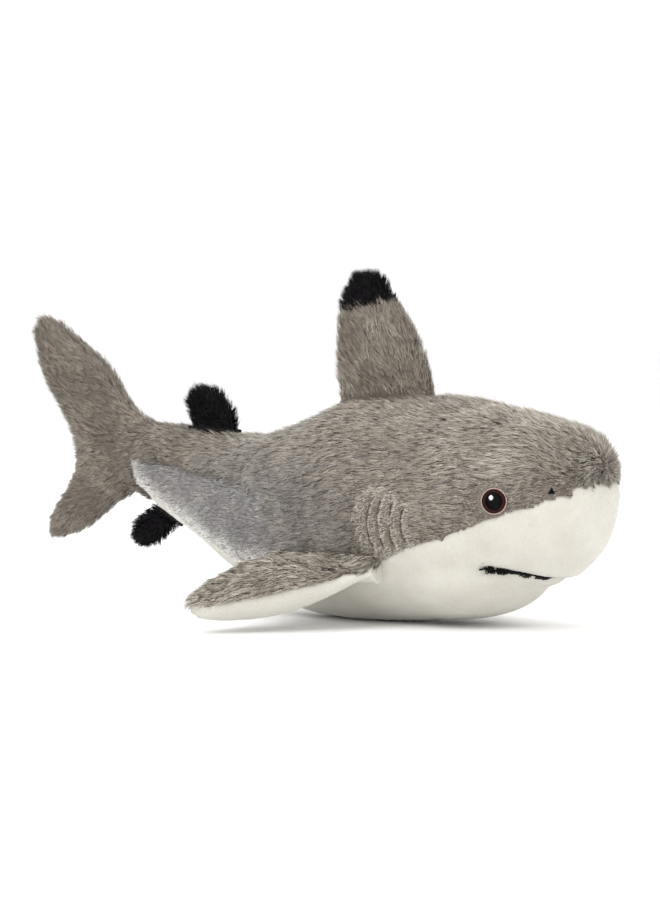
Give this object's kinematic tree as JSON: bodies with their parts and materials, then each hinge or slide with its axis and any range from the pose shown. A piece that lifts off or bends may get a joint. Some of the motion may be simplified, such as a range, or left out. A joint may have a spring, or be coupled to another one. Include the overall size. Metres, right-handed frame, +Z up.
{
  "type": "plush shark",
  "caption": "Stuffed plush shark lying on its belly, with grey back, white belly, black fin tips and sewn fins and tail that bend.",
  "frame": {"origin": "centre of the footprint on the surface that the toy lies on", "axes": "+X toward the nose, +Y toward the toy's left side, +Z up"},
  "size_m": [0.3818, 0.2476, 0.1885],
  "materials": {
    "frosted_grey_pile": "long frosted plush pile, taupe grey with beige tips",
    "cool_grey_pile": "short smooth grey plush, fading to white at the belly",
    "white_pile": "short smooth warm white plush",
    "black_pile": "long black plush pile",
    "fibre_filling": "white polyester fibre filling",
    "pouch_cloth": "plain thin woven cloth",
    "pellet_plastic": "small plastic pellets",
    "mauve_thread": "satin-stitched thread",
    "brown_thread": "satin-stitched thread",
    "black_thread": "satin-stitched thread",
    "white_thread": "satin-stitched thread",
    "dark_grey_thread": "sewing thread"
  },
  "bodies": {
    "torso": {"torso_back_panel_left": "frosted_grey_pile", "torso_back_panel_right": "frosted_grey_pile", "torso_flank_panel_left": "cool_grey_pile", "torso_flank_panel_right": "cool_grey_pile", "torso_belly_panel": "white_pile", "torso_fill": "fibre_filling", "pellet_pouch": "pouch_cloth", "pellets": "pellet_plastic", "eye_outline_left": "mauve_thread", "eye_iris_left": "brown_thread", "eye_pupil_left": "black_thread", "eye_highlight_left": "white_thread", "nostril_left": "black_thread", "gill_stitching_left": "dark_grey_thread", "eye_outline_right": "mauve_thread", "eye_iris_right": "brown_thread", "eye_pupil_right": "black_thread", "eye_highlight_right": "white_thread", "nostril_right": "black_thread", "gill_stitching_right": "dark_grey_thread", "mouth_stitching": "black_thread"},
    "tail": {"tail_back_panel_left": "frosted_grey_pile", "tail_back_panel_right": "frosted_grey_pile", "tail_flank_panel_left": "cool_grey_pile", "tail_flank_panel_right": "cool_grey_pile", "tail_belly_panel": "white_pile", "tail_fill": "fibre_filling"},
    "caudal_fin": {"caudal_fin_panel_left": "frosted_grey_pile", "caudal_fin_panel_right": "frosted_grey_pile", "caudal_fin_fill": "fibre_filling"},
    "dorsal_fin": {"dorsal_fin_panel_left": "frosted_grey_pile", "dorsal_fin_panel_right": "frosted_grey_pile", "dorsal_fin_tip_left": "black_pile", "dorsal_fin_tip_right": "black_pile", "dorsal_fin_fill": "fibre_filling"},
    "second_dorsal_fin": {"second_dorsal_fin_panel_left": "black_pile", "second_dorsal_fin_panel_right": "black_pile", "second_dorsal_fin_fill": "fibre_filling"},
    "anal_fin": {"anal_fin_panel_left": "black_pile", "anal_fin_panel_right": "black_pile", "anal_fin_fill": "fibre_filling"},
    "pectoral_fin_left": {"pectoral_fin_top_left": "frosted_grey_pile", "pectoral_fin_underside_left": "white_pile", "pectoral_fin_fill_left": "fibre_filling"},
    "pectoral_fin_right": {"pectoral_fin_top_right": "frosted_grey_pile", "pectoral_fin_underside_right": "white_pile", "pectoral_fin_fill_right": "fibre_filling"}
  },
  "joints": [
    {"name": "tail_bend", "type": "hinge", "parent": "torso", "child": "tail", "pos_m": [-0.035, 0, 0.06], "axis": [0, 0, 1], "range_deg": [-25, 25], "stiffness_Nm_per_rad": 0.6},
    {"name": "caudal_fin_bend", "type": "hinge", "parent": "tail", "child": "caudal_fin", "pos_m": [-0.116, 0, 0.088], "axis": [0, 0, 1], "range_deg": [-30, 30], "stiffness_Nm_per_rad": 0.25},
    {"name": "dorsal_fin_lean", "type": "hinge", "parent": "torso", "child": "dorsal_fin", "pos_m": [0.0555, 0, 0.12025], "axis": [0.9969, 0, 0.0788], "range_deg": [-22, 22], "stiffness_Nm_per_rad": 0.15},
    {"name": "second_dorsal_fin_lean", "type": "hinge", "parent": "tail", "child": "second_dorsal_fin", "pos_m": [-0.05875, 0, 0.10255], "axis": [0.9973, 0, -0.0728], "range_deg": [-30, 30], "stiffness_Nm_per_rad": 0.03},
    {"name": "anal_fin_lean", "type": "hinge", "parent": "tail", "child": "anal_fin", "pos_m": [-0.088, 0, 0.05005], "axis": [0.8555, 0, -0.5178], "range_deg": [-14, 14], "stiffness_Nm_per_rad": 0.03},
    {"name": "pectoral_fin_left_flap", "type": "hinge", "parent": "torso", "child": "pectoral_fin_left", "pos_m": [0.051, 0.051, 0.031], "axis": [1, 0, 0], "range_deg": [-15, 30], "stiffness_Nm_per_rad": 0.15},
    {"name": "pectoral_fin_right_flap", "type": "hinge", "parent": "torso", "child": "pectoral_fin_right", "pos_m": [0.051, -0.051, 0.031], "axis": [-1, 0, 0], "range_deg": [-15, 30], "stiffness_Nm_per_rad": 0.15}
  ]
}
